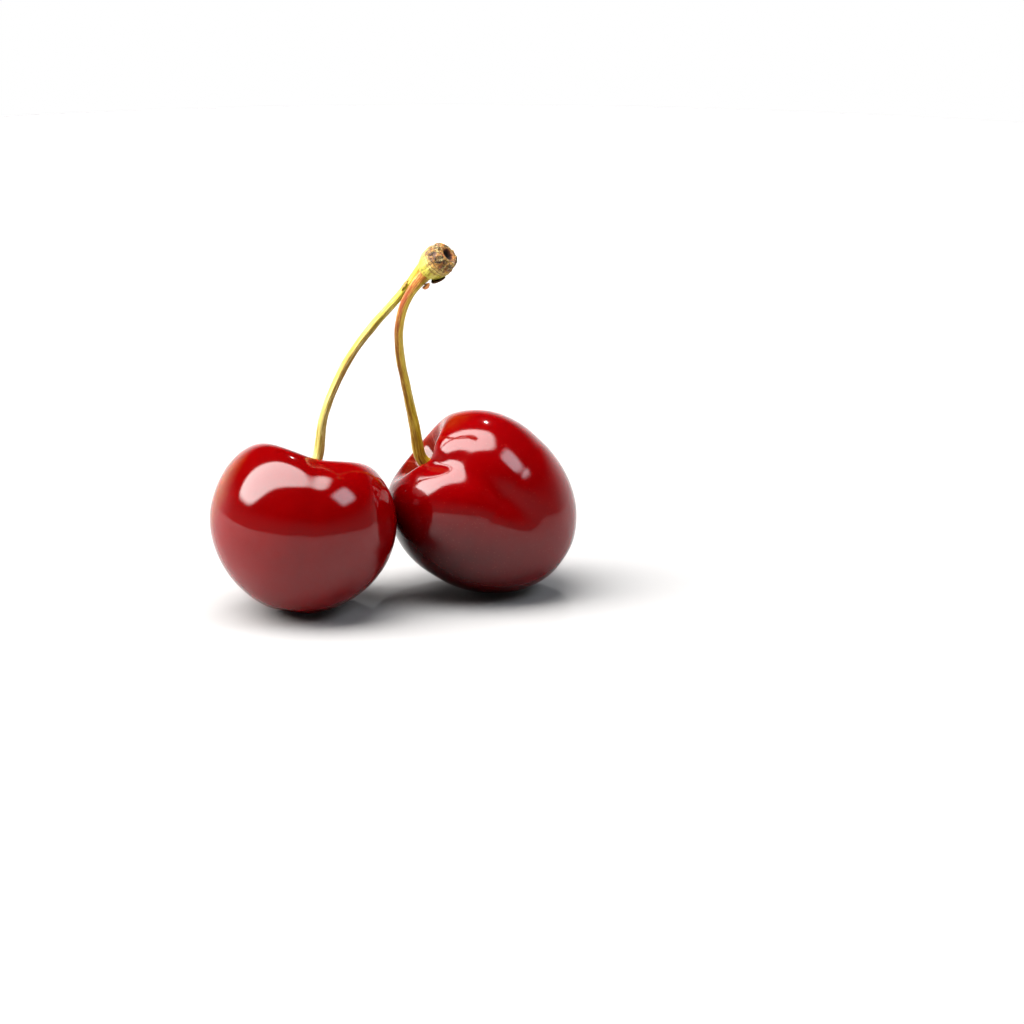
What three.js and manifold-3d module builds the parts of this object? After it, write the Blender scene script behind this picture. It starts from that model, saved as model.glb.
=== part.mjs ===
// A pair of ripe sweet cherries on two stalks that grow from one woody spur end.
// The pair rests on the undersides of its fruits with the stalks standing over them.
// Millimetres, +X to the right, +Y away from the front, +Z up; the origin is under the middle of the pair.
import * as THREE from "three";
import { mergeVertices } from "three/addons/utils/BufferGeometryUtils.js";
import Module from "manifold-3d";

const wasm = await Module();
wasm.setup();

// Driving dimensions.
const fitGap = 0.25; // clearance that separate pieces keep where they meet
const restDepth = 0.14; // how far each fruit is flattened where it rests
const roundSteps = 58; // facets round a fruit
const heightSteps = 34; // facets from its stalk hollow to its flower scar

// Each fruit is described about its own stem axis, seam to the front, before it leans.
const leftFruit = {
  halfWidth: 12.95,
  topHeight: 13.2,
  bottomHeight: 12.2,
  topTaper: 0.07, // how much wider the upper half is than an ellipse
  bottomTaper: 0.08, // how much narrower the lower half is
  cheekFlat: 0.02, // how much narrower it is across the seam
  lopside: -0.35, // one shoulder higher than the other
  skew: 0, // one side fuller than the other, all the way down
  hollowDepth: 6.2,
  hollowWidth: 0.42, // radians from the stem axis
  hollowPower: 2.5, // floor of the hollow: higher is flatter
  notchDepth: 1.3, // broad dip in the rim where the seam crosses it
  backNotchDepth: 0.5,
  seamDepth: 0.12,
  seamWidth: 1.6,
  seamBend: 0, // radians that the seam wanders round the fruit below the shoulder
  cleftDepth: 0, // a sharper nick in the rim at the seam
  middle: [-13.05, -4.4],
  lean: [-22, 9, 8], // degrees about X, Y and its own axis
};
const rightFruit = {
  ...leftFruit,
  halfWidth: 12.05,
  topHeight: 14.9,
  bottomHeight: 13.3,
  topTaper: 0.16,
  bottomTaper: 0.07,
  cheekFlat: 0.03,
  lopside: 0,
  skew: -0.8,
  hollowDepth: 7,
  hollowWidth: 0.29,
  hollowPower: 3,
  notchDepth: 0.8,
  backNotchDepth: 0,
  seamDepth: 0.85,
  seamWidth: 2.3,
  seamBend: 0.2,
  cleftDepth: 0.8,
  middle: [13.6, 4.8],
  lean: [-5, -53, 8],
};
const notchWidth = 6;
const cleftWidth = 1.5;
const rimAngle = 0.5; // radians from the stem axis to the rim of the hollow
const cleftSpread = 0.25;
const shoulderAngle = 0.6; // radians from the stem axis to the crest of the shoulder
const shoulderSpread = 0.55;
const seamBendSpan = 0.4; // radians over which the seam swings to its bend
const seamEnd = 2.5; // radians from the stem axis to where the seam dies out
const seamFade = 0.9;
const scarDimple = 0.45;
const scarSpread = 0.13;

// Stalks, from the fruit to the spur end. The first route point is set by the fruit's hollow.
const stalkSides = 10;
const stalkSteps = 38;
const footLength = 3.2; // the swollen foot that sits in the hollow
const headLength = 4.5; // the swollen head that joins the spur end
const footStart = 0.05; // how far over the hollow's floor the route begins
const footLift = 1.1; // first stretch, straight out of the hollow
const leftStalk = {
  radius: 0.6,
  rootRadius: 0.85, // it thickens towards the fruit
  rootLength: 13,
  footRadius: 1.3,
  headRadius: 0.85,
};
const rightStalk = {
  radius: 0.64,
  rootRadius: 0.95,
  rootLength: 17,
  footRadius: 1.1,
  headRadius: 1,
};
const leftRoute = [
  [-10.9, -0.3, 21.8],
  [-10.3, -0.3, 26.1],
  [-9.3, -0.2, 29.5],
  [-6.4, 0.3, 35.5],
  [-2.6, 1.1, 40.5],
  [0.9, 1.9, 44.3],
  [3.5, 2.2, 47.6],
  [4.9, 2.4, 49.2],
];
const rightRoute = [
  [4.5, 5.7, 18.4],
  [3.5, 5.4, 19.5],
  [2.6, 4.4, 24.6],
  [1.5, 3, 30.9],
  [0.7, 1.9, 36],
  [0.7, 1, 39.7],
  [1.6, 0.2, 43.5],
  [3.3, 0.2, 46.3],
  [4.8, 0.6, 47.9],
];

// Spur end: the short woody stub that both stalks grow from.
const spurBase = [4.4, 1.4, 47.8];
const spurAxis = [0.68, -0.42, 0.63];
const spurRadius = 2.3;
const spurLength = 4.9;
const spurSides = 24;
const spurRings = 4; // old scale scars round the stub
const ringDepth = 0.08;
const pitRadius = 0.9;
const pitDepth = 0.8;

// Dry bud scales: each runs from root to tip, curled, with its open face towards facing.
const scaleThickness = 0.25;
const scaleCurl = 0.8; // radians that a scale bends along its length
const budScales = [
  {
    name: "bud_scale_under",
    root: [5.6, 0.85, 46.1],
    tip: [7.65, -0.35, 46.95],
    facing: [-0.6, 0.2, 0.8],
    width: 1.6,
  },
  {
    name: "bud_scale_front",
    root: [4.3, -0.1, 45.4],
    tip: [5.4, -0.2, 46.2],
    facing: [-0.5, 0.2, 0.8],
    width: 1.1,
  },
  {
    name: "bud_scale_left",
    root: [0.1, 1.9, 45.3],
    tip: [1.6, 2.1, 47.3],
    facing: [0.79, 0, -0.62],
    width: 1.3,
  },
];

const degrees = (angle) => THREE.MathUtils.degToRad(angle);
const bump = (x) => Math.exp(-x * x);
const smooth = (x) => THREE.MathUtils.smoothstep(x, 0, 1);

// Distance from the fruit's middle to its skin along a unit direction in the fruit's own frame.
function skinDistance(direction, fruit) {
  const polar = Math.acos(THREE.MathUtils.clamp(direction.z, -1, 1));
  const round = Math.atan2(direction.x, -direction.y); // 0 along the seam
  const flat = Math.sin(polar);
  const height = direction.z > 0 ? fruit.topHeight : fruit.bottomHeight;
  const taper = direction.z > 0 ? fruit.topTaper : fruit.bottomTaper;
  const width = fruit.halfWidth * (1 - fruit.cheekFlat * Math.cos(2 * round));
  let reach = 1 / Math.hypot(flat / width, direction.z / height);
  reach *= 1 + taper * direction.z * flat * flat;
  const crest = bump((polar - shoulderAngle) / shoulderSpread);
  const seamTurn = fruit.seamBend * smooth((polar - rimAngle) / seamBendSpan);
  const fromSeam = flat * fruit.halfWidth * Math.abs(round - seamTurn);
  const fromBack = flat * fruit.halfWidth * (Math.PI - Math.abs(round));
  reach += (fruit.lopside * crest + fruit.skew * flat) * Math.sin(round);
  reach -= fruit.notchDepth * crest * bump(fromSeam / notchWidth);
  reach -= fruit.backNotchDepth * crest * bump(fromBack / notchWidth);
  reach -= fruit.cleftDepth * bump((polar - rimAngle) / cleftSpread) * bump(fromSeam / cleftWidth);
  reach -= fruit.seamDepth * flat * smooth((seamEnd - polar) / seamFade) * bump(fromSeam / fruit.seamWidth);
  reach -= fruit.hollowDepth * Math.exp(-((polar / fruit.hollowWidth) ** fruit.hollowPower));
  return reach - scarDimple * bump((Math.PI - polar) / scarSpread);
}

const leanOf = (fruit) => new THREE.Euler(...fruit.lean.map(degrees), "XYZ");

// A whole fruit, leaning, with its middle at the origin. grow moves the skin outwards all round.
function fruitGeometry(fruit, grow = 0) {
  const geometry = new THREE.SphereGeometry(1, roundSteps, heightSteps).rotateX(Math.PI / 2);
  const place = geometry.attributes.position;
  const point = new THREE.Vector3();
  for (let i = 0; i < place.count; i++) {
    point.fromBufferAttribute(place, i).normalize();
    point.multiplyScalar(skinDistance(point, fruit) + grow);
    place.setXYZ(i, point.x, point.y, point.z);
  }
  return geometry.applyMatrix4(new THREE.Matrix4().makeRotationFromEuler(leanOf(fruit)));
}

function solidOf(geometry) {
  const bare = new THREE.BufferGeometry().setAttribute("position", geometry.attributes.position.clone());
  if (geometry.index) bare.setIndex(geometry.index.clone());
  const merged = mergeVertices(bare, 1e-3);
  return new wasm.Manifold(
    new wasm.Mesh({
      numProp: 3,
      vertProperties: merged.attributes.position.array,
      triVerts: new Uint32Array(merged.index.array),
    }),
  );
}

function geometryOf(solid) {
  const mesh = solid.getMesh();
  return new THREE.BufferGeometry()
    .setAttribute("position", new THREE.BufferAttribute(Float32Array.from(mesh.vertProperties), 3))
    .setIndex(new THREE.BufferAttribute(Uint32Array.from(mesh.triVerts), 1));
}

// How high the fruit's middle is once it has settled on its flattened underside.
function restHeight(fruit) {
  const geometry = fruitGeometry(fruit);
  geometry.computeBoundingBox();
  return -geometry.boundingBox.min.z - restDepth;
}

// The fruit in its place on the surface, with a flat patch where it rests.
function restingFruit(fruit) {
  const size = 4 * fruit.halfWidth;
  const floor = new THREE.BoxGeometry(size, size, size).translate(0, 0, -size / 2);
  const whole = fruitGeometry(fruit).translate(0, 0, restHeight(fruit));
  return geometryOf(solidOf(whole).subtract(solidOf(floor)));
}

// The floor of the fruit's stalk hollow, in the pair's frame, raised along the stem axis.
function hollowPoint(fruit, lift) {
  const axis = new THREE.Vector3(0, 0, 1);
  const reach = skinDistance(axis, fruit) + lift;
  axis.applyEuler(leanOf(fruit)).multiplyScalar(reach);
  return axis.add(new THREE.Vector3(...fruit.middle, restHeight(fruit)));
}

// A stalk is turned as a straight rod with a swollen foot and head, then bent along its route.
function stalkGeometry(fruit, route, girth) {
  const start = [hollowPoint(fruit, footStart), hollowPoint(fruit, footLift)];
  const points = [...start, ...route.map((p) => new THREE.Vector3(...p))];
  const curve = new THREE.CatmullRomCurve3(points, false, "centripetal");
  const length = curve.getLength();
  const profile = [new THREE.Vector2(0, 0)];
  for (let i = 0; i <= stalkSteps; i++) {
    const along = (length * i) / stalkSteps;
    const foot = 1 - smooth(along / footLength);
    const root = 1 - smooth(along / girth.rootLength);
    const head = 1 - smooth((length - along) / headLength);
    let radius = girth.radius + (girth.rootRadius - girth.radius) * root;
    radius += (girth.footRadius - girth.rootRadius) * foot;
    radius += (girth.headRadius - girth.radius) * head;
    profile.push(new THREE.Vector2(radius, along));
  }
  profile.push(new THREE.Vector2(0, length));
  const geometry = new THREE.LatheGeometry(profile, stalkSides);
  const frames = curve.computeFrenetFrames(stalkSteps, false);
  const place = geometry.attributes.position;
  for (let i = 0; i < place.count; i++) {
    const step = Math.round((place.getY(i) / length) * stalkSteps);
    const point = curve.getPointAt(step / stalkSteps);
    point.addScaledVector(frames.binormals[step], place.getX(i));
    point.addScaledVector(frames.normals[step], place.getZ(i));
    place.setXYZ(i, point.x, point.y, point.z);
  }
  return geometry;
}

// The spur end stands along +Z here: a rounded base, ringed sides and a pitted broken end.
function spurGeometry(grow = 0) {
  const outline = new THREE.SplineCurve([
    new THREE.Vector2(0, 0),
    new THREE.Vector2(0.5 * spurRadius, 0.1),
    new THREE.Vector2(0.82 * spurRadius, 0.8),
    new THREE.Vector2(spurRadius, 2.3),
    new THREE.Vector2(0.98 * spurRadius, 3.7),
    new THREE.Vector2(0.8 * spurRadius, spurLength - 0.2),
    new THREE.Vector2(0.62 * spurRadius, spurLength),
    new THREE.Vector2(pitRadius, spurLength - 0.1),
    new THREE.Vector2(0.6 * pitRadius, spurLength - pitDepth),
    new THREE.Vector2(0, spurLength - pitDepth),
  ]);
  const profile = outline.getPoints(24).map((point, i, all) => {
    const ring = ringDepth * Math.sin((point.y / spurLength) * spurRings * 2 * Math.PI);
    const onAxis = i === 0 || i === all.length - 1;
    return new THREE.Vector2(onAxis ? 0 : Math.max(point.x + ring * (point.x / spurRadius), 0.05), point.y);
  });
  const geometry = new THREE.LatheGeometry(profile, spurSides).rotateX(Math.PI / 2);
  if (grow) {
    const middle = spurLength / 2;
    geometry.translate(0, 0, -middle);
    geometry.scale(1 + grow / spurRadius, 1 + grow / spurRadius, 1 + grow / middle);
    geometry.translate(0, 0, middle);
  }
  const turn = new THREE.Quaternion().setFromUnitVectors(
    new THREE.Vector3(0, 0, 1),
    new THREE.Vector3(...spurAxis).normalize(),
  );
  return geometry.applyQuaternion(turn).translate(...spurBase);
}

// A bud scale: a thin pointed oval along +X about its middle, whose ends curl up towards +Z.
function scaleGeometry({ root, tip, facing, width }) {
  const start = new THREE.Vector3(...root);
  const end = new THREE.Vector3(...tip);
  const half = start.distanceTo(end) / 2;
  const side = 0.67 * width;
  const outline = new THREE.Shape();
  outline.moveTo(-half, 0);
  outline.bezierCurveTo(-0.6 * half, side, 0.4 * half, side, half, 0);
  outline.bezierCurveTo(0.4 * half, -side, -0.6 * half, -side, -half, 0);
  const sheet = { depth: scaleThickness, curveSegments: 8, bevelEnabled: false };
  const geometry = new THREE.ExtrudeGeometry(outline, sheet);
  const bendRadius = (2 * half) / scaleCurl;
  const place = geometry.attributes.position;
  for (let i = 0; i < place.count; i++) {
    const angle = place.getX(i) / bendRadius;
    const radius = bendRadius - place.getZ(i);
    place.setXYZ(i, radius * Math.sin(angle), place.getY(i), bendRadius - radius * Math.cos(angle));
  }
  const along = end.clone().sub(start).normalize();
  const across = new THREE.Vector3(...facing).cross(along).normalize();
  const turn = new THREE.Matrix4().makeBasis(along, across, along.clone().cross(across));
  return geometry.applyMatrix4(turn).translate(...start.add(end).multiplyScalar(0.5));
}

const skin = new THREE.MeshStandardMaterial({ color: 0x8e0a12, roughness: 0.18, metalness: 0 });
const darkSkin = new THREE.MeshStandardMaterial({ color: 0x74070f, roughness: 0.18, metalness: 0 });
const stalkGreen = new THREE.MeshStandardMaterial({ color: 0xb7b43a, roughness: 0.55, metalness: 0 });
const bark = new THREE.MeshStandardMaterial({ color: 0x9a8740, roughness: 0.8, metalness: 0 });
const dryScale = new THREE.MeshStandardMaterial({ color: 0x5a3419, roughness: 0.85, metalness: 0 });

const pair = new THREE.Group();

function addPiece(name, geometry, material) {
  geometry.computeVertexNormals();
  const mesh = new THREE.Mesh(geometry, material);
  mesh.name = name;
  pair.add(mesh);
  return mesh;
}

addPiece("cherry_left", restingFruit(leftFruit), skin).position.set(...leftFruit.middle, 0);
addPiece("cherry_right", restingFruit(rightFruit), darkSkin).position.set(...rightFruit.middle, 0);

// Both stalks stop just short of the fruit they stand in and of the spur end.
const aroundSpur = solidOf(spurGeometry(fitGap));
for (const [name, fruit, route, girth] of [
  ["stalk_left", leftFruit, leftRoute, leftStalk],
  ["stalk_right", rightFruit, rightRoute, rightStalk],
]) {
  const aroundFruit = fruitGeometry(fruit, fitGap).translate(...fruit.middle, restHeight(fruit));
  const cut = solidOf(stalkGeometry(fruit, route, girth)).subtract(solidOf(aroundFruit)).subtract(aroundSpur);
  addPiece(name, geometryOf(cut), stalkGreen);
}

addPiece("spur_end", spurGeometry(), bark);
for (const scale of budScales) {
  addPiece(scale.name, scaleGeometry(scale), dryScale);
}

// The origin goes under the middle of the pair, on the surface that it rests on.
const box = new THREE.Box3().setFromObject(pair);
const middle = box.getCenter(new THREE.Vector3());
pair.position.set(-middle.x, -middle.y, -box.min.z);

export default pair;
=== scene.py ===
# A pair of ripe sweet cherries on two stalks that grow from one woody spur end.
# Lengths in the settings are millimetres; everything is made in metres, in the CAD model's frame.
import math
import bmesh
import bpy
from mathutils import Matrix, Vector, noise


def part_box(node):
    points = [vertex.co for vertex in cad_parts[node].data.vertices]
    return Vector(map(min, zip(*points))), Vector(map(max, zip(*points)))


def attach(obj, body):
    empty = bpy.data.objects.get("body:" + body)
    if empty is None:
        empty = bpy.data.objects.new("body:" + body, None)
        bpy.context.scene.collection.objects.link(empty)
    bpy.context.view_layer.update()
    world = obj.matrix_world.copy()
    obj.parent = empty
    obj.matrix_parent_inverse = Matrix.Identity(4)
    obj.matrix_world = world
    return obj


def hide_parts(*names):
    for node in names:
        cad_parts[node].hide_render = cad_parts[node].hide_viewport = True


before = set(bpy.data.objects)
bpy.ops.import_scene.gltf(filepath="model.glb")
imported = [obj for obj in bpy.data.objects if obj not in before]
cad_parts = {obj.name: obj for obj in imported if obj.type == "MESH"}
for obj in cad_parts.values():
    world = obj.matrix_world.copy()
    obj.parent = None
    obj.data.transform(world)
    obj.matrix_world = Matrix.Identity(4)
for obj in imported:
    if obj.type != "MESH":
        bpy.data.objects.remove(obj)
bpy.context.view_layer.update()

mm = 0.001
scene = bpy.context.scene


def bump(x):
    return math.exp(-x * x)


def smooth(x):
    x = min(max(x, 0.0), 1.0)
    return x * x * (3 - 2 * x)


def linear(hexColour):  # sRGB hex to the linear values that nodes take
    parts = [int(hexColour[i:i + 2], 16) / 255 for i in (1, 3, 5)]
    return tuple(c / 12.92 if c <= 0.04045 else ((c + 0.055) / 1.055) ** 2.4 for c in parts) + (1.0,)


def addNode(tree, kind, sockets=None, **settings):
    node = tree.nodes.new(kind)
    for name, value in settings.items():
        setattr(node, name, value)
    for socket, value in (sockets or {}).items():
        if isinstance(value, bpy.types.NodeSocket):
            tree.links.new(value, node.inputs[socket])
        else:
            node.inputs[socket].default_value = value
    return node


def maths(tree, operation, *values):
    return addNode(tree, "ShaderNodeMath", dict(enumerate(values)), operation=operation).outputs[0]


def stretched(tree, vector, factors):
    node = addNode(tree, "ShaderNodeVectorMath", {0: vector, 1: factors}, operation="MULTIPLY")
    return node.outputs[0]


def towards(tree, vector, direction):
    node = addNode(tree, "ShaderNodeVectorMath", {0: vector, 1: direction}, operation="DOT_PRODUCT")
    return node.outputs["Value"]


def remap(tree, value, start, end, low=0.0, high=1.0, easing="LINEAR"):
    sockets = {0: value, 1: start, 2: end, 3: low, 4: high}
    return addNode(tree, "ShaderNodeMapRange", sockets, interpolation_type=easing).outputs[0]


def attribute(tree, name, output):
    return addNode(tree, "ShaderNodeAttribute", attribute_name=name).outputs[output]


def grainOf(tree, vector, scale, detail, roughness=0.5, distortion=0.0):
    sockets = {"Vector": vector, "Scale": scale, "Detail": detail, "Roughness": roughness}
    sockets["Distortion"] = distortion
    return addNode(tree, "ShaderNodeTexNoise", sockets)


def relief(tree, height, depth, strength=1.0, over=None):  # depth in millimetres
    sockets = {"Strength": strength, "Distance": depth * mm, "Height": height}
    if over is not None:
        sockets["Normal"] = over
    return addNode(tree, "ShaderNodeBump", sockets).outputs[0]


def tinted(tree, amount, under, over):  # one colour laid over another
    if isinstance(over, str):
        over = linear(over)
    return addNode(tree, "ShaderNodeMix", {0: amount, 6: under, 7: over}, data_type="RGBA").outputs[2]


def addRamp(tree, factor, stops, mode="LINEAR"):
    node = addNode(tree, "ShaderNodeValToRGB", {0: factor})
    node.color_ramp.interpolation = mode
    while len(node.color_ramp.elements) < len(stops):
        node.color_ramp.elements.new(0.5)
    for element, (place, colour) in zip(node.color_ramp.elements, stops):
        element.position = place
        element.color = linear(colour)
    return node.outputs["Color"]


def finishPiece(name, bm, levels=1):
    mesh = bpy.data.meshes.new(name)
    bm.to_mesh(mesh)
    bm.free()
    mesh.shade_smooth()
    piece = bpy.data.objects.new(name, mesh)
    scene.collection.objects.link(piece)
    if levels:
        rounding = piece.modifiers.new("rounding", "SUBSURF")
        rounding.levels = levels
        rounding.render_levels = levels
    return piece


def standFor(piece, node, material):
    piece.data.materials.append(material)
    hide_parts(node)
    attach(piece, "root")


# The fruits. Each is described about its own stem axis, seam to the front, before it leans.
fruitMesh = {"around": 144, "rings": 100, "restDepth": 0.14}

leftFruit = {
    "node": "cherry_left",
    "slot": "skin_bright",
    "halfWidth": 12.95,
    "topHeight": 13.2,
    "bottomHeight": 12.2,
    "topTaper": 0.07,
    "bottomTaper": 0.08,
    "cheekFlat": 0.02,
    "lopside": -0.35,
    "skew": 0,
    "hollowDepth": 6.2,
    "hollowWidth": 0.42,  # radians from the stem axis
    "hollowPower": 2.5,
    "notchDepth": 1.3,  # dip in the rim where the seam crosses it
    "backNotchDepth": 0.5,
    "seamDepth": 0.12,
    "seamWidth": 1.6,
    "seamBend": 0,
    "cleftDepth": 0,
    "middle": (-13.05, -4.4),
    "lean": (-22, 9, 8),  # degrees about X, Y and its own axis
    "waviness": 0.06,
    "wavePlace": 3.0,
}
rightFruit = {
    **leftFruit,
    "node": "cherry_right",
    "slot": "skin_dark",
    "halfWidth": 12.05,
    "topHeight": 14.9,
    "bottomHeight": 13.3,
    "topTaper": 0.16,
    "bottomTaper": 0.07,
    "cheekFlat": 0.03,
    "lopside": 0,
    "skew": -0.8,
    "hollowDepth": 7,
    "hollowWidth": 0.29,
    "hollowPower": 3,
    "notchDepth": 0.8,
    "backNotchDepth": 0,
    "seamDepth": 0.85,
    "seamWidth": 2.3,
    "seamBend": 0.2,  # radians that the seam wanders round the fruit below the shoulder
    "cleftDepth": 0.8,  # a sharper nick in the rim at the seam
    "middle": (13.6, 4.8),
    "lean": (-5, -53, 8),
    "wavePlace": 11.0,
}
skinForm = {
    "notchWidth": 6,
    "cleftWidth": 1.5,
    "rimAngle": 0.5,  # radians from the stem axis to the rim of the hollow
    "cleftSpread": 0.25,
    "shoulderAngle": 0.6,  # radians from the stem axis to the crest of the shoulder
    "shoulderSpread": 0.55,
    "seamBendSpan": 0.4,
    "seamEnd": 2.5,  # radians from the stem axis to where the seam dies out
    "seamFade": 0.9,
    "scarDimple": 0.45,
    "scarSpread": 0.13,
    "lineWidth": 0.35,  # the darker line along the bottom of the seam
    "lineStart": 0.5,  # radians from the stem axis over which the line appears
    "lineEnd": 3.0,
    "lineFade": 0.6,
    "pleatDepth": 0.07,  # soft folds that run down into the stalk hollow
    "pleatPlace": 0.85,  # as a share of the hollow's width
    "pleatSpread": 0.16,
    "pleatTurns": 4,
    "waveTurns": 2.6,  # slow unevenness all over the skin
    "tintReach": 1.25,  # how far the hollow's brown tint reaches, as a share of its width
    "scarWidth": 0.055,
}


def seamDistance(polar, turn, fruit):
    seamTurn = fruit["seamBend"] * smooth((polar - skinForm["rimAngle"]) / skinForm["seamBendSpan"])
    return math.sin(polar) * fruit["halfWidth"] * abs(turn - seamTurn)


def skinReach(direction, fruit):
    polar = math.acos(min(max(direction.z, -1.0), 1.0))
    turn = math.atan2(direction.x, -direction.y)  # 0 along the seam
    flat = math.sin(polar)
    height = fruit["topHeight"] if direction.z > 0 else fruit["bottomHeight"]
    taper = fruit["topTaper"] if direction.z > 0 else fruit["bottomTaper"]
    width = fruit["halfWidth"] * (1 - fruit["cheekFlat"] * math.cos(2 * turn))
    reach = 1 / math.hypot(flat / width, direction.z / height)
    reach *= 1 + taper * direction.z * flat * flat
    crest = bump((polar - skinForm["shoulderAngle"]) / skinForm["shoulderSpread"])
    fromSeam = seamDistance(polar, turn, fruit)
    fromBack = flat * fruit["halfWidth"] * (math.pi - abs(turn))
    reach += (fruit["lopside"] * crest + fruit["skew"] * flat) * math.sin(turn)
    reach -= fruit["notchDepth"] * crest * bump(fromSeam / skinForm["notchWidth"])
    reach -= fruit["backNotchDepth"] * crest * bump(fromBack / skinForm["notchWidth"])
    rim = bump((polar - skinForm["rimAngle"]) / skinForm["cleftSpread"])
    reach -= fruit["cleftDepth"] * rim * bump(fromSeam / skinForm["cleftWidth"])
    seamStrength = flat * smooth((skinForm["seamEnd"] - polar) / skinForm["seamFade"])
    reach -= fruit["seamDepth"] * seamStrength * bump(fromSeam / fruit["seamWidth"])
    reach -= fruit["hollowDepth"] * math.exp(-((polar / fruit["hollowWidth"]) ** fruit["hollowPower"]))
    return reach - skinForm["scarDimple"] * bump((math.pi - polar) / skinForm["scarSpread"])


def growFruit(fruit):
    bm = bmesh.new()
    bmesh.ops.create_uvsphere(bm, u_segments=fruitMesh["around"], v_segments=fruitMesh["rings"], radius=1)
    ownPlace = bm.verts.layers.float_vector.new("own")
    seam = bm.verts.layers.float.new("seam")
    hollow = bm.verts.layers.float.new("hollow")
    scar = bm.verts.layers.float.new("scar")
    for v in bm.verts:
        direction = v.co.normalized()
        polar = math.acos(min(max(direction.z, -1.0), 1.0))
        turn = math.atan2(direction.x, -direction.y)
        reach = skinReach(direction, fruit)
        onSeam = bump(seamDistance(polar, turn, fruit) / skinForm["lineWidth"])
        tintWidth = skinForm["tintReach"] * fruit["hollowWidth"]
        wall = bump((polar - skinForm["pleatPlace"] * fruit["hollowWidth"]) / skinForm["pleatSpread"])
        pleats = Vector((math.cos(turn), math.sin(turn), 0)) * skinForm["pleatTurns"] + Vector((0, 0, 1.7))
        reach += skinForm["pleatDepth"] * wall * noise.noise(pleats)
        waves = direction * skinForm["waveTurns"] + Vector((fruit["wavePlace"], 0, 0))
        reach += fruit["waviness"] * noise.noise(waves)
        seamEnds = smooth(polar / skinForm["lineStart"])
        seamEnds *= smooth((skinForm["lineEnd"] - polar) / skinForm["lineFade"])
        v[seam] = onSeam * seamEnds
        v[hollow] = math.exp(-((polar / tintWidth) ** 4))
        v[scar] = bump((math.pi - polar) / skinForm["scarWidth"])
        v[ownPlace] = direction * reach
        v.co = direction * reach * mm
    lean = Matrix()
    for angle, axis in zip(fruit["lean"], "XYZ"):
        lean = lean @ Matrix.Rotation(math.radians(angle), 4, axis)
    bmesh.ops.transform(bm, matrix=lean, verts=bm.verts)
    # It rests on a small flat patch, inside the CAD fruit's box.
    floorHeight = min(v.co.z for v in bm.verts) + fruitMesh["restDepth"] * mm
    for v in bm.verts:
        v.co.z = max(v.co.z, floorHeight)
    lowCorner, highCorner = (Vector(corner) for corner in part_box(fruit["node"]))
    ownLow = Vector([min(v.co[i] for v in bm.verts) for i in range(3)])
    ownHigh = Vector([max(v.co[i] for v in bm.verts) for i in range(3)])
    place = (lowCorner + highCorner - ownLow - ownHigh) / 2
    place.z = lowCorner.z - ownLow.z
    bmesh.ops.translate(bm, vec=place, verts=bm.verts)
    fruit["place"] = place
    fruit["leaning"] = lean
    return finishPiece(fruit["node"] + "_skin", bm)


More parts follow.
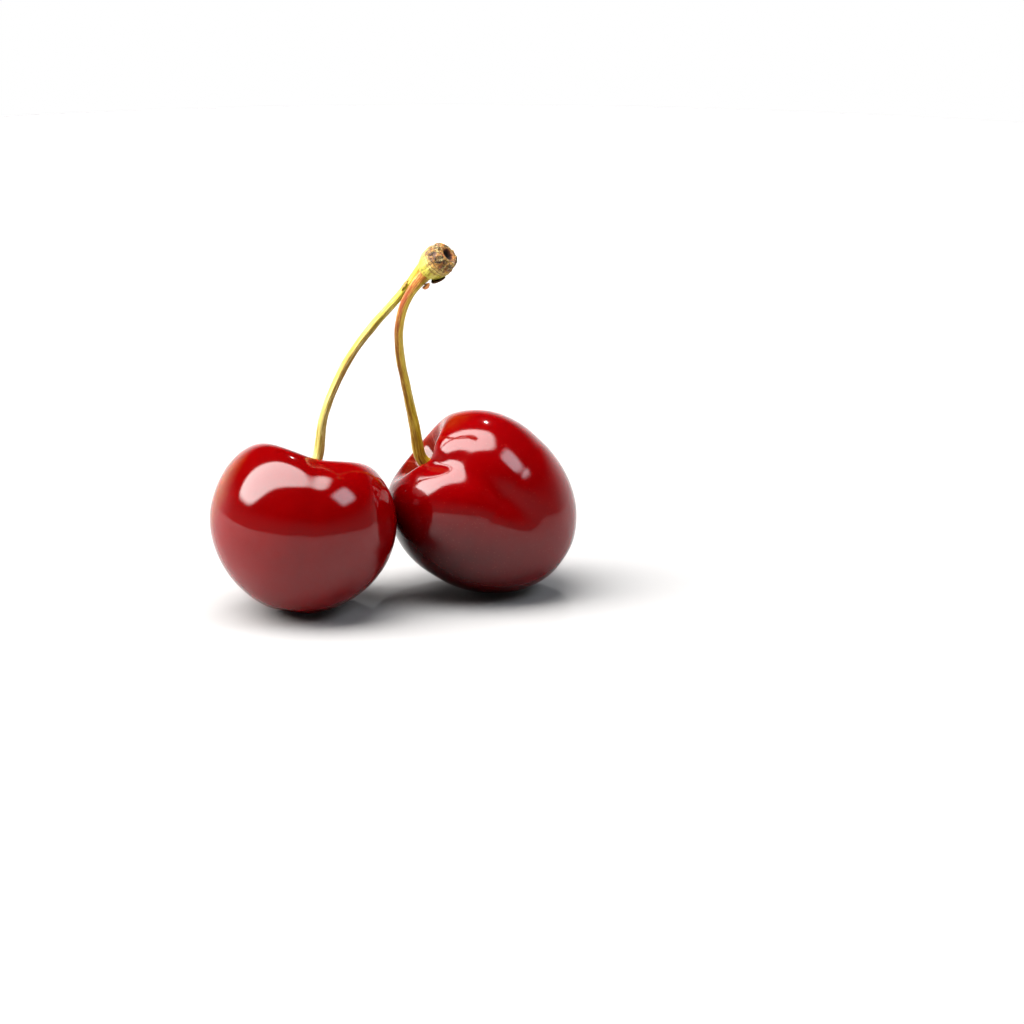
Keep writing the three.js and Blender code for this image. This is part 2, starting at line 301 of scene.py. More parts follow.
# Ripe sweet cherry skin: thin, tight and waxed by nature over deep red flesh. The wax gives sharp wet
# highlights, the flesh gives depth, and a fine grain and pale breathing pores keep it from looking
# like glass.
def cherrySkin(name, look, fruit):
    material = bpy.data.materials.new(name)
    material.use_nodes = True
    tree = material.node_tree
    shader = tree.nodes["Principled BSDF"]
    radius = fruit["halfWidth"] * mm
    place = addNode(tree, "ShaderNodeTexCoord").outputs["Object"]
    centred = addNode(tree, "ShaderNodeVectorMath", {0: place, 1: fruit["place"]}, operation="SUBTRACT")
    scaling = {0: centred.outputs[0], "Scale": 1 / radius}
    unit = addNode(tree, "ShaderNodeVectorMath", scaling, operation="SCALE").outputs[0]

    # Colour runs towards each fruit's sunny side, with soft uneven patches: partly real ripe colour, partly
    # painted shade that darkens the lower side and, less, the top.
    patches = grainOf(tree, unit, 1.7, 3.0, 0.55).outputs[0]
    sunny = towards(tree, unit, Vector(look["ripeAndLitSide"]).normalized())
    ripenessAndShade = maths(tree, "MULTIPLY_ADD", patches, look["patchiness"], -0.5 * look["patchiness"])
    ripenessAndShade = maths(tree, "MULTIPLY_ADD", sunny, 0.5, ripenessAndShade)
    ripenessAndShade = maths(tree, "ADD", ripenessAndShade, 0.5)
    colour = addRamp(tree, ripenessAndShade, look["ripeningAndShade"], "B_SPLINE")

    # A paler amber patch. On the brighter fruit it lies along the left edge as a painted reflection of a
    # neighbouring fruit's amber skin; on the darker fruit it is a faint amber tint towards the upper left.
    amber = towards(tree, unit, Vector(look["amberSide"]).normalized())
    amber = maths(tree, "MULTIPLY_ADD", patches, 0.3, amber)
    amberFull = look["amberFrom"] + look["amberSpread"]
    amber = remap(tree, amber, look["amberFrom"], amberFull, 0.0, look["amberDepth"], "SMOOTHSTEP")
    colour = tinted(tree, amber, colour, look["amber"])

    # Streaks follow the fruit from stalk to scar, and turn browner down in the stalk hollow.
    aroundStem = stretched(tree, attribute(tree, "own", "Vector"), (1.0, 1.0, 0.0))
    aroundStem = addNode(tree, "ShaderNodeVectorMath", {0: aroundStem}, operation="NORMALIZE").outputs[0]
    streaks = grainOf(tree, aroundStem, 9.0, 4.0, 0.6).outputs[0]
    hollow = attribute(tree, "hollow", "Fac")
    streakLight = maths(tree, "MULTIPLY", remap(tree, streaks, 0.52, 0.75, 0.0, 0.7), hollow)
    colour = tinted(tree, maths(tree, "MULTIPLY", hollow, look["hollowDepth"]), colour, look["hollowColour"])
    colour = tinted(tree, streakLight, colour, look["streak"])

    # The seam shows as a faint darker line.
    seam = maths(tree, "MULTIPLY", attribute(tree, "seam", "Fac"), look["seamTint"])
    colour = tinted(tree, seam, colour, look["seamColour"])

    # Breathing pores are pale specks about 0.15 mm wide.
    poreScale = 1 / (look["poreSpacing"] * mm)
    pores = addNode(tree, "ShaderNodeTexVoronoi", {"Vector": place, "Scale": poreScale, "Randomness": 1.0})
    poreMask = remap(tree, pores.outputs["Distance"], 0.05, 0.2, look["poreDepth"], 0.0)
    colour = tinted(tree, poreMask, colour, look["poreColour"])

    # The flower scar is a small corky dot with a pale ring.
    scar = attribute(tree, "scar", "Fac")
    scarMask = remap(tree, scar, 0.25, 0.4)
    colour = tinted(tree, scarMask, colour, addRamp(tree, scar, look["scar"]))
    tree.links.new(colour, shader.inputs["Base Color"])

    roughness = remap(tree, patches, 0.3, 0.7, 0.24, 0.34)
    roughness = maths(tree, "MULTIPLY_ADD", scarMask, 0.5, roughness)
    tree.links.new(roughness, shader.inputs["Roughness"])

    grain = grainOf(tree, place, 1 / (look["grainSize"] * mm), 2.0).outputs[0]
    dents = grainOf(tree, unit, 5.0, 1.0).outputs[0]
    surface = relief(tree, dents, look["dents"], over=relief(tree, grain, look["grain"]))
    tree.links.new(surface, shader.inputs["Normal"])
    tree.links.new(surface, shader.inputs["Coat Normal"])

    # The wax alone gives the gloss.
    shader.inputs["IOR"].default_value = 1.4
    shader.inputs["Specular IOR Level"].default_value = 0
    shader.inputs["Coat Weight"].default_value = 0.82
    shader.inputs["Coat Roughness"].default_value = look["coatRoughness"]
    shader.inputs["Coat IOR"].default_value = 1.5
    # Red light travels a few millimetres through the flesh, which evens out its shading.
    shader.inputs["Subsurface Weight"].default_value = 0.4
    shader.inputs["Subsurface Radius"].default_value = (1.0, 0.1, 0.06)
    shader.inputs["Subsurface Scale"].default_value = 3 * mm
    return material


brightLook = {
    # Ripe colour with painted shade: darker towards the lower side and towards the top.
    "ripeningAndShade": [(0.0, "#560001"), (0.3, "#700001"), (0.6, "#780002"), (0.85, "#640102"), (1.0, "#5e0102")],
    "ripeAndLitSide": (-0.35, -0.25, 0.9),
    "patchiness": 0.3,
    # On this fruit the amber along the left edge is a painted reflection of a neighbouring fruit.
    "amber": "#7c3a0a",
    "amberSide": (-0.93, 0.05, 0.36),
    "amberFrom": 0.98,
    "amberSpread": 0.22,
    "amberDepth": 0.6,
    "hollowColour": "#4c1a0a",
    "hollowDepth": 0.55,
    "streak": "#a05040",
    "seamTint": 0.05,
    "seamColour": "#4a0206",
    "poreColour": "#94382a",
    "poreDepth": 0.05,
    "poreSpacing": 0.6,
    "scar": [(0.0, "#b98a4a"), (0.45, "#c9a468"), (0.7, "#6b4520"), (1.0, "#3a2412")],
    "coatRoughness": 0.07,
    "grainSize": 0.32,
    "grain": 0.0004,  # relief heights, in millimetres
    "dents": 0.008,
}
darkLook = {
    **brightLook,
    # Ripe colour with painted shade: much darker towards the lower left, a little darker at the top.
    "ripeningAndShade": [(0.0, "#280001"), (0.3, "#4a0001"), (0.55, "#6c0002"), (0.8, "#760002"), (1.0, "#6a0103")],
    "ripeAndLitSide": (0.55, -0.15, 0.8),
    "patchiness": 0.25,
    "amberSide": (-0.55, 0.2, 0.8),
    "amberFrom": 1.12,
    "amberDepth": 0.3,
    "hollowDepth": 0.75,
    "seamTint": 0.1,
    "poreDepth": 0.22,
    "coatRoughness": 0.09,
    "grain": 0.004,
}

for fruit, skinName, look in (
    (leftFruit, "waxedBrightCherrySkin", brightLook),
    (rightFruit, "waxedDarkCherrySkin", darkLook),
):
    skin = growFruit(fruit)
    standFor(skin, fruit["node"], cherrySkin(skinName, look, fruit))
# The settings were drawn before the pair was centred; this is how far it moved.
shift = leftFruit["place"] - Vector((*leftFruit["middle"], 0)) * mm
shift.z = 0
print("fruits grown, pair moved by", [round(c / mm, 3) for c in shift])


# The stalks, from the fruit to the spur end.
stalk = {
    "footLength": 3.2,  # the swollen foot that sits in the hollow
    "headLength": 4.5,  # the swollen head that joins the spur end
    "footSunk": 0.35,  # how far it runs into the fruit
    "footLift": 1.1,  # how far it rises straight out of the fruit
    "sides": 30,
    "steps": 150,
    "ridges": 5,
    "ridgeHeight": 0.035,
    "ridgeTwist": 0.05,  # radians per millimetre
    "fineRidges": 8,
    "fineRidgeShare": 0.6,
    "fineRidgeTwist": -0.07,
    "fineRidgeStart": 1.3,
    "knobbliness": 0.06,
    "knobLength": 2.2,
}
leftGirth = {"radius": 0.6, "rootRadius": 0.85, "rootLength": 13, "footRadius": 1.3, "headRadius": 0.85}
rightGirth = {"radius": 0.64, "rootRadius": 0.95, "rootLength": 17, "footRadius": 1.1, "headRadius": 1}
leftRoute = [
    (-10.9, -0.3, 21.8), (-10.3, -0.3, 26.1), (-9.3, -0.2, 29.5), (-6.4, 0.3, 35.5),
    (-2.6, 1.1, 40.5), (0.9, 1.9, 44.3), (3.5, 2.2, 47.6), (4.9, 2.4, 49.2),
]
rightRoute = [
    (4.5, 5.7, 18.4), (3.5, 5.4, 19.5), (2.6, 4.4, 24.6), (1.5, 3, 30.9), (0.7, 1.9, 36),
    (0.7, 1, 39.7), (1.6, 0.2, 43.5), (3.3, 0.2, 46.3), (4.8, 0.6, 47.9),
]


def smoothRoute(points, perSpan=24):  # a centripetal curve through the points
    ends = [2 * points[0] - points[1]] + points + [2 * points[-1] - points[-2]]
    route = []
    for a, b, c, d in zip(ends, ends[1:], ends[2:], ends[3:]):
        before, span, after = (math.sqrt((q - p).length) for p, q in ((a, b), (b, c), (c, d)))
        leave = ((b - a) / before - (c - a) / (before + span) + (c - b) / span) * span
        arrive = ((c - b) / span - (d - b) / (span + after) + (d - c) / after) * span
        for i in range(perSpan):
            t = i / perSpan
            route.append(b + leave * t + (3 * (c - b) - 2 * leave - arrive) * t * t
                         + (leave + arrive - 2 * (c - b)) * t * t * t)
    return route + [points[-1]]


def framesAlong(route, steps):  # evenly spaced frames that never twist about the route
    lengths = [0.0]
    for a, b in zip(route, route[1:]):
        lengths.append(lengths[-1] + (b - a).length)
    places = []
    span = 0
    for i in range(steps + 1):
        goal = lengths[-1] * i / steps
        while span < len(route) - 2 and lengths[span + 1] < goal:
            span += 1
        part = (goal - lengths[span]) / (lengths[span + 1] - lengths[span])
        places.append(route[span].lerp(route[span + 1], part))
    frames = []
    side = Vector((1, 0, 0))
    for i, place in enumerate(places):
        ahead = (places[min(i + 1, steps)] - places[max(i - 1, 0)]).normalized()
        side = (side - ahead * side.dot(ahead)).normalized()
        frames.append((place, side, ahead.cross(side)))
    return frames, lengths[-1]


def growStalk(name, fruit, routePoints, girth):
    axis = fruit["leaning"].to_3x3() @ Vector((0, 0, 1))
    floorReach = skinReach(Vector((0, 0, 1)), fruit)
    lifts = (-stalk["footSunk"], stalk["footLift"])
    start = [fruit["place"] + axis * (floorReach + lift) * mm for lift in lifts]
    route = smoothRoute(start + [Vector(p) * mm + shift for p in routePoints])
    frames, length = framesAlong(route, stalk["steps"])
    length /= mm
    bm = bmesh.new()
    rod = bm.verts.layers.float_vector.new("rod")
    ring = bmesh.ops.create_circle(bm, cap_ends=True, segments=stalk["sides"], radius=1)["verts"]
    edges = list({e for v in ring for e in v.link_edges})
    for i in range(stalk["steps"]):
        grown = bmesh.ops.extrude_edge_only(bm, edges=edges)["geom"]
        edges = [g for g in grown if isinstance(g, bmesh.types.BMEdge)]
        newVerts = [g for g in grown if isinstance(g, bmesh.types.BMVert)]
        bmesh.ops.translate(bm, vec=(0, 0, 1), verts=newVerts)
    bmesh.ops.edgeloop_fill(bm, edges=edges)
    # The straight rod takes its swollen foot and head, its ridges and its bend.
    for v in bm.verts:
        step = round(v.co.z)
        along = length * step / stalk["steps"]
        turn = math.atan2(v.co.y, v.co.x)
        foot = 1 - smooth(along / stalk["footLength"])
        root = 1 - smooth(along / girth["rootLength"])
        head = 1 - smooth((length - along) / stalk["headLength"])
        radius = girth["radius"] + (girth["rootRadius"] - girth["radius"]) * root
        radius += (girth["footRadius"] - girth["rootRadius"]) * foot
        radius += (girth["headRadius"] - girth["radius"]) * head
        ridge = math.cos(stalk["ridges"] * turn + stalk["ridgeTwist"] * along)
        fineTurn = stalk["fineRidges"] * turn + stalk["fineRidgeTwist"] * along + stalk["fineRidgeStart"]
        ridge += stalk["fineRidgeShare"] * math.cos(fineTurn)
        radius += stalk["ridgeHeight"] * ridge * (1 - 0.5 * foot)
        knobs = Vector((length + math.cos(turn), math.sin(turn), along / stalk["knobLength"]))
        radius += stalk["knobbliness"] * noise.noise(knobs)
        place, side, across = frames[step]
        v[rod] = (radius * math.cos(turn), radius * math.sin(turn), along)
        v.co = place + (side * math.cos(turn) + across * math.sin(turn)) * radius * mm
    bmesh.ops.recalc_face_normals(bm, faces=bm.faces)
    return finishPiece(name, bm), length


# Fresh stalk rind: green living bark with fibres running lengthwise, browned where it was rubbed or has begun
# to dry. It gives a satin, faintly ribbed surface with long streaks.
def stalkRind(name, look, length):
    material = bpy.data.materials.new(name)
    material.use_nodes = True
    tree = material.node_tree
    shader = tree.nodes["Principled BSDF"]
    rod = attribute(tree, "rod", "Vector")
    parts = addNode(tree, "ShaderNodeSeparateXYZ", {0: rod})
    along = maths(tree, "DIVIDE", parts.outputs[2], length)
    blotches = grainOf(tree, rod, 0.55, 4.0, 0.6).outputs[0]
    along = maths(tree, "ADD", along, maths(tree, "MULTIPLY_ADD", blotches, 0.16, -0.08))
    # One side takes a second set of colours: on the paler stalk darker copies, painted shade on the side away
    # from the key light; on the redder stalk its own reddish brown.
    sunny = addRamp(tree, along, look["sunny"])
    shadeAndRuddy = addRamp(tree, along, look["shadeAndRuddy"])
    sideways = towards(tree, rod, Vector(look["shadeAndRuddySide"]).normalized())
    sideways = remap(tree, sideways, look["shadeAndRuddyFrom"], 0.5, easing="SMOOTHSTEP")
    colour = tinted(tree, sideways, sunny, shadeAndRuddy)

    # Fibres are long thin light and dark streaks, about 0.2 mm apart.
    fibres = grainOf(tree, stretched(tree, rod, (1.0, 1.0, 0.06)), 5.0, 3.0, 0.65).outputs[0]
    colour = tinted(tree, remap(tree, fibres, 0.5, 0.66, 0.0, 0.7), colour, look["paleFibre"])
    colour = tinted(tree, remap(tree, fibres, 0.5, 0.36, 0.0, 0.65), colour, look["darkFibre"])
    # Small brown rub marks.
    marks = grainOf(tree, stretched(tree, rod, (1.0, 1.0, 0.35)), 2.1, 5.0, 0.7).outputs[0]
    colour = tinted(tree, remap(tree, marks, 0.6, 0.7, 0.0, 0.55), colour, look["rubMark"])
    tree.links.new(colour, shader.inputs["Base Color"])
    tree.links.new(relief(tree, fibres, 0.05, 0.8), shader.inputs["Normal"])
    shader.inputs["Roughness"].default_value = 0.5
    shader.inputs["IOR"].default_value = 1.35
    shader.inputs["Subsurface Weight"].default_value = 0.1
    shader.inputs["Subsurface Radius"].default_value = (0.6, 0.7, 0.1)
    shader.inputs["Subsurface Scale"].default_value = 0.4 * mm
    return material


leftRindLook = {
    "sunny": [(0.0, "#a8963c"), (0.1, "#d8cc78"), (0.3, "#d9cb6c"), (0.5, "#d0ae54"), (0.7, "#c8b444"),
              (0.86, "#cfcb36"), (1.0, "#b8a828")],
    # Darker copies of the colours for the side away from the light: painted shade.
    "shadeAndRuddy": [(0.0, "#7a5c24"), (0.2, "#b9a850"), (0.42, "#9a7034"), (0.6, "#94702a"), (0.8, "#93901f"),
               (1.0, "#846c1a")],
    "shadeAndRuddySide": (0.9, -0.2, 0.0),
    "shadeAndRuddyFrom": -0.2,
    "paleFibre": "#efe69c",
    "darkFibre": "#8a7024",
    "rubMark": "#86592a",
}
rightRindLook = {
    **leftRindLook,
    "sunny": [(0.0, "#9a6a12"), (0.12, "#bc9a16"), (0.35, "#c0a41e"), (0.6, "#c8a834"), (0.8, "#c8a030"),
              (0.92, "#ccb434"), (1.0, "#c0a02c")],
    # The stalk's own reddish brown on one side, with its red streak near the head.
    "shadeAndRuddy": [(0.0, "#7a3e10"), (0.15, "#a07c16"), (0.4, "#94681c"), (0.62, "#8c5220"), (0.78, "#984c24"),
               (0.88, "#b4503a"), (0.96, "#a85026"), (1.0, "#a87c30")],
    "shadeAndRuddySide": (-0.95, -0.25, 0.0),
    "shadeAndRuddyFrom": 0.15,
    "paleFibre": "#e0cc58",
    "darkFibre": "#7a5a14",
}
leftStalk, leftLength = growStalk("stalk_left_rind", leftFruit, leftRoute, leftGirth)
leftRind = stalkRind("paleGreenStalkRind", leftRindLook, leftLength)
standFor(leftStalk, "stalk_left", leftRind)
rightStalk, rightLength = growStalk("stalk_right_rind", rightFruit, rightRoute, rightGirth)
rightRind = stalkRind("ruddyGreenStalkRind", rightRindLook, rightLength)
standFor(rightStalk, "stalk_right", rightRind)
print("stalks grown,", round(leftLength, 1), "and", round(rightLength, 1), "mm long")


# The spur end: the short woody stub that both stalks grow from.
spur = {
    "base": (4.4, 1.4, 47.8),
    "axis": (0.68, -0.42, 0.63),
    "radius": 2.3,
    "length": 4.9,
    "pitRadius": 0.9,
    "pitDepth": 0.8,
    "pitShift": (0.4, 0, 0.1),  # how far the pit lies off the middle of the broken end
    "sides": 120,
    "barkFrom": 2.9,  # height where the smooth young bark gives way to the rough broken end
    "barkRamp": 0.9,
    "ringSpacing": 0.55,
    "ringRelief": 0.05,
    "ringsFrom": 1.3,
    "broadRing": 1.35,  # spacing of the broader swellings under the rings
    "waver": 0.22,
    "ribs": 11,
    "ribRelief": 0.035,
    "crumbRelief": 0.2,
    "crumbLift": 0.14,
    "crumbScale": 1.7,
    "endSunk": 0.08,
    "greenSide": (0.35, -0.3, 0),  # the bark stays green further up on this side
}


def spurProfile():
    r, top, pit = spur["radius"], spur["length"], spur["pitRadius"]
    outline = [
        (0, 0), (0.5 * r, 0.1), (0.82 * r, 0.8), (r, 2.3), (0.98 * r, 3.7), (0.8 * r, top - 0.2),
        (0.62 * r, top), (pit, top - 0.1), (0.6 * pit, top - spur["pitDepth"]), (0, top - spur["pitDepth"]),
    ]
    return smoothRoute([Vector((x, 0, z)) for x, z in outline], 5)


def growSpur():
    bm = bmesh.new()
    rod = bm.verts.layers.float_vector.new("rod")
    chain = [bm.verts.new(p) for p in spurProfile()]
    for end in (chain[0], chain[-1]):
        end.co.x = 0
    edges = [bm.edges.new(pair) for pair in zip(chain, chain[1:])]
    bmesh.ops.spin(bm, geom=chain + edges, cent=(0, 0, 0), axis=(0, 0, 1), angle=2 * math.pi,
                   steps=spur["sides"], use_merge=True, use_duplicate=False)
    bmesh.ops.remove_doubles(bm, verts=bm.verts, dist=1e-4)
    bmesh.ops.recalc_face_normals(bm, faces=bm.faces)
    up = Vector(spur["axis"]).normalized()
    turnUp = Vector((0, 0, 1)).rotation_difference(up).to_matrix().to_4x4()
    pitShift = turnUp.inverted().to_3x3() @ Vector(spur["pitShift"])
    pitShift.z = 0
    for v in bm.verts:
        radius = math.hypot(v.co.x, v.co.y)
        turn = math.atan2(v.co.y, v.co.x)
        height = v.co.z
        around = Vector((math.cos(turn), math.sin(turn), 0))
        # Scale scars: uneven rings that crowd together towards the broken end.
        waver = spur["waver"] * noise.noise(around * 1.3 + Vector((0, 0, height * 0.4)))
        ring = math.sin((height + waver) * 2 * math.pi / spur["ringSpacing"])
        ring *= smooth((height - spur["ringsFrom"]) / 1.2)
        ring += 0.5 * math.sin((height + 1.5 * waver) * 2 * math.pi / spur["broadRing"])
        rough = smooth((height - spur["barkFrom"]) / spur["barkRamp"])
        crumble = noise.fractal(v.co * spur["crumbScale"], 0.6, 2.3, 5)
        rib = spur["ribRelief"] * math.cos(spur["ribs"] * turn + 2 * noise.noise(around * 2)) * (1 - rough)
        outwards = spur["ringRelief"] * ring * (1 - 0.5 * rough) + spur["crumbRelief"] * crumble * rough + rib
        outwards *= smooth(radius / 1.2)
        v[rod] = v.co.copy()
        v.co += around * outwards
        v.co.z += (spur["crumbLift"] * crumble - spur["endSunk"]) * rough
        v.co += pitShift * smooth((height - 3.6) / 0.8) * bump(radius / 1.5)
    place = Matrix.Translation(Vector(spur["base"]) * mm + shift) @ turnUp @ Matrix.Scale(mm, 4)
    bmesh.ops.transform(bm, matrix=place, verts=bm.verts)
    return finishPiece("spur_end_bark", bm)


spurLook = {
    "upwards": [(0.0, "#b09a2c"), (0.12, "#d0cc3e"), (0.4, "#cfc848"), (0.52, "#cdb566"), (0.64, "#a67c40"),
                (0.74, "#6e4628"), (0.86, "#482a1e"), (1.0, "#341d16")],
    "paleFibre": "#e8dc84",
    "darkFibre": "#9a7c30",
    "ringLine": "#4a2c16",
    "pith": [(0.0, "#0c0503"), (0.68, "#1a0c06"), (0.84, "#5e2c0e"), (1.0, "#a86c28")],
    "collar": "#6a3a14",
}


# Young cherry bark: smooth, green and faintly streaked below, tan and ringed by scale scars above, with a
# dry, crumbly dark end where it broke from the tree. It gives a matt surface with a fine broken relief.
def spurBark():
    material = bpy.data.materials.new("youngCherryBark")
    material.use_nodes = True
    tree = material.node_tree
    shader = tree.nodes["Principled BSDF"]
    rod = attribute(tree, "rod", "Vector")
    fromBase = addNode(tree, "ShaderNodeSeparateXYZ", {0: rod}).outputs[2]
    waver = grainOf(tree, rod, 0.8, 6.0, 0.7).outputs[0]
    height = maths(tree, "ADD", fromBase, maths(tree, "MULTIPLY_ADD", waver, 2.2, -1.1))
    under = towards(tree, rod, spur["greenSide"])
    height = maths(tree, "MULTIPLY_ADD", under, -0.3, height)
    height = maths(tree, "DIVIDE", height, spur["length"])
    colour = addRamp(tree, height, spurLook["upwards"])
    fibres = grainOf(tree, stretched(tree, rod, (1.0, 1.0, 0.2)), 2.6, 5.0, 0.65).outputs[0]
    colour = tinted(tree, remap(tree, fibres, 0.52, 0.64, 0.0, 0.6), colour, spurLook["paleFibre"])
    colour = tinted(tree, remap(tree, fibres, 0.51, 0.41, 0.0, 0.75), colour, spurLook["darkFibre"])
    # Ring lines are thin, dark and wavy.
    ringWave = maths(tree, "MULTIPLY_ADD", waver, 1.1, fromBase)
    ringWave = maths(tree, "SINE", maths(tree, "MULTIPLY", ringWave, 2 * math.pi / spur["ringSpacing"]))
    ringFade = remap(tree, fromBase, 1.6, 2.6, 0.0, 0.85)
    ringLine = maths(tree, "MULTIPLY", remap(tree, ringWave, 0.6, 0.95), ringFade)
    colour = tinted(tree, ringLine, colour, spurLook["ringLine"])
    # Crumbs of torn bark, about 0.5 mm across.
    crumbs = grainOf(tree, rod, 1.3, 6.0, 0.75, 0.6)
    crumbTint = addNode(tree, "ShaderNodeSeparateColor", {0: crumbs.outputs["Color"]})
    topOnly = remap(tree, height, 0.6, 0.74, easing="SMOOTHSTEP")
    midAndTop = remap(tree, height, 0.36, 0.6)
    for channel, low, high, depth, where, tint in (
        (0, 0.52, 0.6, 0.8, midAndTop, "#d09a40"),  # ochre
        (1, 0.53, 0.6, 0.92, topOnly, "#1e0e08"),  # nearly black
        (2, 0.53, 0.62, 0.5, topOnly, "#84686a"),  # weathered purple grey
        (1, 0.47, 0.4, 0.7, topOnly, "#a85a20"),  # rust
    ):
        patch = remap(tree, crumbTint.outputs[channel], low, high, 0.0, depth)
        colour = tinted(tree, maths(tree, "MULTIPLY", patch, where), colour, tint)
    # A rusty pith round a dark hole.
    fromPith = stretched(tree, rod, (1.0, 1.0, 0.0))
    fromPith = addNode(tree, "ShaderNodeVectorMath", {0: fromPith}, operation="LENGTH").outputs["Value"]
    pithColour = addRamp(tree, fromPith, spurLook["pith"])
    onTop = remap(tree, fromBase, 3.4, 4.0)
    pith = maths(tree, "MULTIPLY", remap(tree, fromPith, 1.15, 0.9), onTop)
    colour = tinted(tree, pith, colour, pithColour)
    # A dark seam where the stalks grow out of the base.
    colour = tinted(tree, remap(tree, fromBase, 0.45, 0.15, 0.0, 0.7), colour, spurLook["collar"])
    tree.links.new(colour, shader.inputs["Base Color"])
    surface = relief(tree, fibres, 0.1, 0.7, relief(tree, crumbs.outputs[0], 0.15))
    tree.links.new(surface, shader.inputs["Normal"])
    tree.links.new(remap(tree, fromBase, 1.8, 3.6, 0.45, 0.8), shader.inputs["Roughness"])
    return material


spurPiece = growSpur()
standFor(spurPiece, "spur_end", spurBark())
print("spur end grown")


# The dry bud scales: each runs from root to tip, with its open face towards facing.
budScales = [
    {
        "node": "bud_scale_under",
        "root": (5.6, 0.85, 46.1),
        "tip": (7.65, -0.35, 46.95),
        "facing": (-0.6, -0.2, 0.8),
        "width": 2.1,
        "press": 0.35,  # how far it is pressed towards what it grew on
        "browns": ("#1c0c06", "#3c1e0e", "#5e3216", "#a87038"),
    },
    {
        "node": "bud_scale_front",
        "root": (4.3, -0.1, 45.4),
        "tip": (5.4, -0.2, 46.2),
        "facing": (-0.45, -0.55, 0.7),
        "width": 0.95,
        "press": 0.36,
        "browns": ("#4a240c", "#8a4c18", "#b06c28", "#c89048"),
    },
    {
        "node": "bud_scale_left",
        "root": (0.1, 1.9, 45.3),
        "tip": (1.6, 2.1, 47.3),
        "facing": (0.79, 0, -0.62),
        "width": 1.5,
        "press": 0.72,
        "browns": ("#5a4418", "#87682a", "#a68e3c", "#cbbb6c"),
    },
]
scaleForm = {
    "thickness": 0.16,
    "curl": 0.8,  # radians from root to tip
    "cup": 0.35,
    "lengthCuts": 22,
    "widthCuts": 12,
    "endSharpness": 2.6,
    "endFullness": 0.8,
    "tipTaper": 0.15,
    "leastWidth": 0.06,
    "raggedness": 0.5,
    "endRaggedness": 0.08,
    "crease": 0.09,
}


def growScale(scale, seed):
    root, tip = Vector(scale["root"]), Vector(scale["tip"])
    half = (tip - root).length / 2
    bm = bmesh.new()
    rod = bm.verts.layers.float_vector.new("rod")
    bmesh.ops.create_grid(bm, x_segments=scaleForm["lengthCuts"], y_segments=scaleForm["widthCuts"], size=1)
    bendRadius = 2 * half / scaleForm["curl"]
    for v in bm.verts:
        u, w = v.co.x, v.co.y
        wide = 0.5 * scale["width"] * (1 - abs(u) ** scaleForm["endSharpness"]) ** scaleForm["endFullness"]
        wide *= 1 - scaleForm["tipTaper"] * u
        torn = noise.fractal(Vector((3 * u, seed, 2.0 * (w > 0))), 0.6, 2.2, 4)
        y = w * max(wide, scaleForm["leastWidth"]) * (1 + scaleForm["raggedness"] * torn * abs(w))
        tornEnd = noise.noise(Vector((4 * w, seed, 7.0)))
        x = u * half * (1 + scaleForm["endRaggedness"] * tornEnd * abs(u))
        crease = scaleForm["crease"] * noise.noise(Vector((x * 2, y * 4, seed)))
        lift = scaleForm["cup"] * y * y + crease
        angle = x / bendRadius
        radius = bendRadius - lift - scaleForm["thickness"] / 2
        v[rod] = (x, y, seed)
        v.co = (radius * math.sin(angle), y, bendRadius - radius * math.cos(angle))
    bmesh.ops.solidify(bm, geom=bm.faces[:], thickness=scaleForm["thickness"])
    bmesh.ops.recalc_face_normals(bm, faces=bm.faces)
    along = (tip - root).normalized()
    across = Vector(scale["facing"]).cross(along).normalized()
    turn = Matrix((along, across, along.cross(across))).transposed().to_4x4()
    middle = (root + tip) / 2 + Vector(scale["facing"]).normalized() * scale["press"]
    place = Matrix.Translation(middle * mm + shift) @ turn @ Matrix.Scale(mm, 4)
    bmesh.ops.transform(bm, matrix=place, verts=bm.verts)
    return finishPiece(scale["node"] + "_flake", bm)


# Dry bud scale: a papery husk left from the winter bud. It gives a matt brown flake with darker veins.
def budHusk(name, browns):
    material = bpy.data.materials.new(name)
    material.use_nodes = True
    tree = material.node_tree
    shader = tree.nodes["Principled BSDF"]
    rod = attribute(tree, "rod", "Vector")
    veins = grainOf(tree, stretched(tree, rod, (0.3, 1.6, 1.0)), 3.0, 5.0, 0.7).outputs[0]
    colour = addRamp(tree, veins, list(zip((0.3, 0.46, 0.57, 0.7), browns)))
    tree.links.new(colour, shader.inputs["Base Color"])
    tree.links.new(relief(tree, veins, 0.06), shader.inputs["Normal"])
    shader.inputs["Roughness"].default_value = 0.75
    return material


for number, scale in enumerate(budScales):
    husk = budHusk("dryBudHusk" + str(number), scale["browns"])
    standFor(growScale(scale, 3.0 * number + 1), scale["node"], husk)
print("bud scales grown")


# The studio. The camera's distance and aim are in millimetres, the floor and the lights in metres.
studio = {
    "distance": 450,
    "elevation": 17,
    "aim": (16.6, 0, 13),
    "lens": 110.74,
    "floorRadius": 0.42,
    "floorShade": 0.32,
    "spotWatts": 95,
    "spotAngle": 46,
    "spotPlace": (0.12, 0.75, 0.9),
    "spotAim": (0.12, 0.42, 0),
}


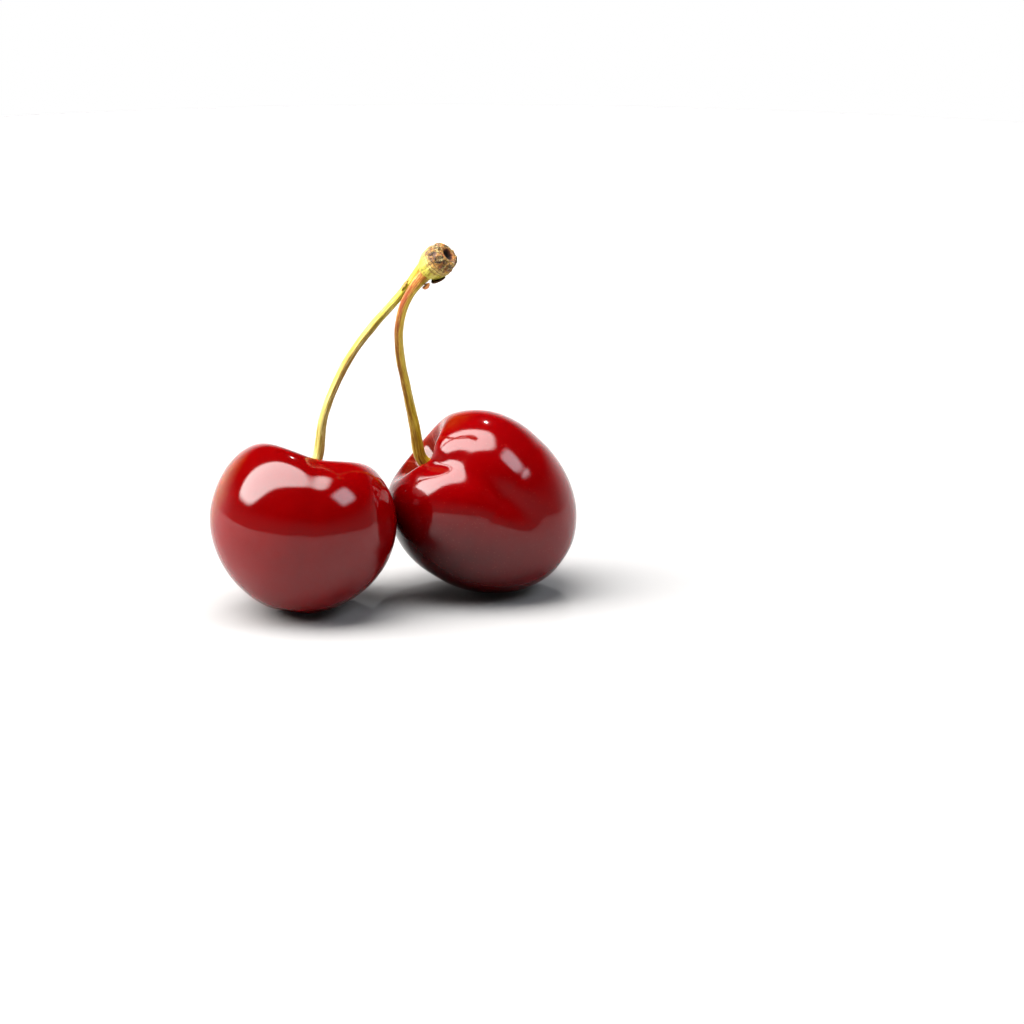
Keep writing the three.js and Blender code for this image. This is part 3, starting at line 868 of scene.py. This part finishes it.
# A soft light panel with rounded, faded edges, brighter at one end.
def addSoftbox(box):
    lamp = bpy.data.lights.new(box["name"], "AREA")
    lamp.shape = "RECTANGLE"
    lamp.size, lamp.size_y = box["size"]
    lamp.energy = box["watts"]
    lamp.color = box["colour"]
    lamp.use_nodes = True
    tree = lamp.node_tree
    panel = addNode(tree, "ShaderNodeNewGeometry").outputs["Parametric"]
    centred = addNode(tree, "ShaderNodeVectorMath", {0: panel, 1: (2, 2, 0), 2: (-1, -1, 0)},
                      operation="MULTIPLY_ADD").outputs[0]
    squared = stretched(tree, centred, centred)
    outwards = maths(tree, "POWER", towards(tree, squared, squared), 0.25)
    inside = remap(tree, outwards, 1.0, 1 - box["softEdge"], easing="SMOOTHSTEP")
    along = addNode(tree, "ShaderNodeSeparateXYZ", {0: panel}).outputs[1]
    slope = remap(tree, along, 0.0, 1.0, *box["levels"])
    tree.links.new(maths(tree, "MULTIPLY", inside, slope), tree.nodes["Emission"].inputs["Strength"])
    holder = bpy.data.objects.new(box["name"], lamp)
    scene.collection.objects.link(holder)
    holder.location = box["place"]
    heading = Vector(box["aim"]) - Vector(box["place"])
    holder.rotation_euler = heading.to_track_quat("-Z", "Y").to_euler()


# Sizes are the depth along Y, then the length. Levels are the brightness at the low and the high end.
softboxes = [
    {
        "name": "keySoftbox",
        "place": (-0.2, -0.03, 0.45),
        "aim": (0, 0, 0.015),
        "size": (0.41, 1.02),
        "watts": 19,
        "colour": (1.0, 0.97, 0.95),
        "softEdge": 0.22,
        "levels": (1.25, 0.75),
    },
    {
        "name": "fillSoftbox",
        "place": (0.315, -0.1, 0.36),
        "aim": (0, 0, 0.015),
        "size": (0.26, 0.26),
        "watts": 1.6,
        "colour": (0.86, 0.92, 1.0),
        "softEdge": 0.5,
        "levels": (1, 1),
    },
]


camera = bpy.data.cameras.new("studioCamera")
camera.sensor_width = 36
camera.lens = studio["lens"]
cameraHolder = bpy.data.objects.new("studioCamera", camera)
scene.collection.objects.link(cameraHolder)
tilt = math.radians(studio["elevation"])
aim = Vector(studio["aim"]) * mm + shift
cameraHolder.location = aim + Vector((0, -math.cos(tilt), math.sin(tilt))) * studio["distance"] * mm
cameraHolder.rotation_euler = (math.pi / 2 - tilt, 0, 0)
scene.camera = cameraHolder

floorMesh = bmesh.new()
bmesh.ops.create_circle(floorMesh, cap_ends=True, segments=96, radius=studio["floorRadius"])
floor = finishPiece("studioFloor", floorMesh, 0)
# Matt studio paper: pale and even, it takes soft shadows and gives no glare.
paper = bpy.data.materials.new("paleStudioPaper")
paper.use_nodes = True
paperShader = paper.node_tree.nodes["Principled BSDF"]
paperShader.inputs["Base Color"].default_value = (studio["floorShade"],) * 3 + (1,)
paperShader.inputs["Roughness"].default_value = 0.8
floor.data.materials.append(paper)

for box in softboxes:
    addSoftbox(box)
# A spot on the floor behind the fruits keeps the backdrop white. It has nearly faded out where they stand.
backdropSpot = bpy.data.lights.new("backdropSpot", "SPOT")
backdropSpot.energy = studio["spotWatts"]
backdropSpot.spot_size = math.radians(studio["spotAngle"])
backdropSpot.spot_blend = 1
backdropHolder = bpy.data.objects.new("backdropSpot", backdropSpot)
scene.collection.objects.link(backdropHolder)
backdropHolder.location = studio["spotPlace"]
spotHeading = Vector(studio["spotAim"]) - Vector(studio["spotPlace"])
backdropHolder.rotation_euler = spotHeading.to_track_quat("-Z", "Y").to_euler()

# The room is bright along its walls, most of all behind the object, and dark overhead and in front,
# so the fruits keep clean deep reds between their highlights.
world = bpy.data.worlds.new("studioRoom")
world.use_nodes = True
scene.world = world
room = world.node_tree
room.nodes.clear()
direction = addNode(room, "ShaderNodeTexCoord").outputs["Generated"]
axes = addNode(room, "ShaderNodeSeparateXYZ", {0: direction})
backwards = remap(room, axes.outputs[1], 0.0, 0.95, 0.25, 1.3, "SMOOTHSTEP")
nearHorizon = remap(room, axes.outputs[2], 0.45, 0.0, easing="SMOOTHSTEP")
glow = maths(room, "MULTIPLY", backwards, nearHorizon)
seen = addNode(room, "ShaderNodeLightPath").outputs["Is Camera Ray"]
strength = addNode(room, "ShaderNodeMix", {0: seen, 2: glow, 3: 1.0}).outputs[0]
light = addNode(room, "ShaderNodeBackground", {"Color": (1, 1, 1, 1), "Strength": strength})
addNode(room, "ShaderNodeOutputWorld", {0: light.outputs[0]})
scene.view_settings.view_transform = "Standard"
print("studio set")
